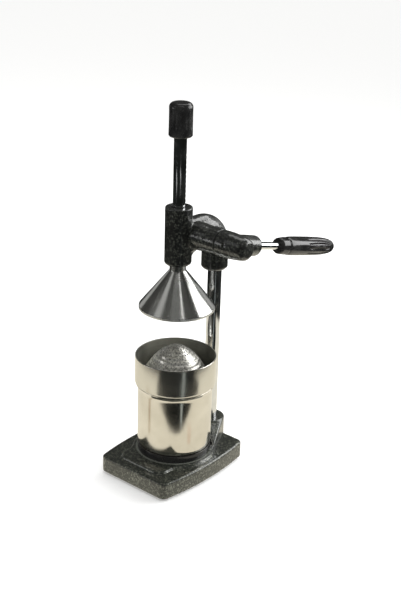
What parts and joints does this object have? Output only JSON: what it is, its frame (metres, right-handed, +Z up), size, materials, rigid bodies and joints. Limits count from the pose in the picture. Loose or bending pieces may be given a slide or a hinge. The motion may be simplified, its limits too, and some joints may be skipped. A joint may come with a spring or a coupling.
{
  "type": "hand lever citrus press",
  "caption": "Hand lever citrus press: a rack and pinion ram lowers a bell onto a perforated reamer over a steel juice cup on a cast base.",
  "frame": {"origin": "middle of the whole press in plan, on the plane that its four rubber feet stand on; the ram's upright press axis stands at x = -19.00 mm, y = -80.60 mm", "axes": "+Z up along the ram and the column, +Y towards the rear where the column stands, +X towards the side that the lever turns on"},
  "size_m": [0.1696, 0.3322, 0.5137],
  "materials": {
    "hammertone": "dark grey-green hammertone enamel over cast iron, glossy and pebbled",
    "chrome": "bright chrome plate",
    "stainless": "polished stainless sheet with faint turning lines",
    "satin_metal": "turned and polished aluminium",
    "plain_steel": "plain machined steel",
    "bronze": "oiled bronze bearing metal",
    "black_plastic": "black moulded plastic, semi gloss",
    "foot_rubber": "matt black rubber"
  },
  "bodies": {
    "frame": {"base_casting": "hammertone", "rubber_foot_front_left": "foot_rubber", "rubber_foot_front_right": "foot_rubber", "rubber_foot_rear_left": "foot_rubber", "rubber_foot_rear_right": "foot_rubber", "foot_screw_front_left": "plain_steel", "foot_screw_front_right": "plain_steel", "foot_screw_rear_left": "plain_steel", "foot_screw_rear_right": "plain_steel", "cup_seat_ring": "black_plastic", "column_tube": "chrome", "column_plug": "plain_steel", "column_bolt": "plain_steel", "column_washer": "plain_steel", "head_casting": "hammertone", "head_set_screw": "plain_steel", "bush_set_screw": "plain_steel", "lower_guide_bush": "black_plastic", "upper_guide_bush": "black_plastic", "shaft_inner_bush": "bronze", "shaft_outer_bush": "bronze"},
    "lever": {"lever_hub": "hammertone", "hub_set_screw": "plain_steel", "lever_rod": "chrome", "lever_grip": "black_plastic", "pinion_shaft": "plain_steel", "pinion_gear": "plain_steel", "pinion_pin": "plain_steel"},
    "ram": {"rack_rod": "chrome", "rod_cap": "black_plastic", "press_bell": "satin_metal", "bell_screw": "plain_steel"},
    "cup": {"juice_cup": "stainless", "strainer_collar": "stainless", "reamer_dome": "satin_metal"}
  },
  "joints": [
    {"name": "lever_turn", "type": "hinge", "parent": "frame", "child": "lever", "pos_m": [-0.019, -0.0636, 0.34], "axis": [1, 0, 0], "range_deg": [0, 474]},
    {"name": "ram_slide", "type": "slide", "parent": "frame", "child": "ram", "axis": [0, 0, -1], "range_m": [0, 0.091]},
    {"name": "cup_lift", "type": "slide", "parent": "frame", "child": "cup", "axis": [0, 0, 1], "range_m": [0, 0.007]}
  ],
  "couplings": [
    {"joint": "ram_slide", "follows": "lever_turn", "m_per_rad": 0.011}
  ]
}
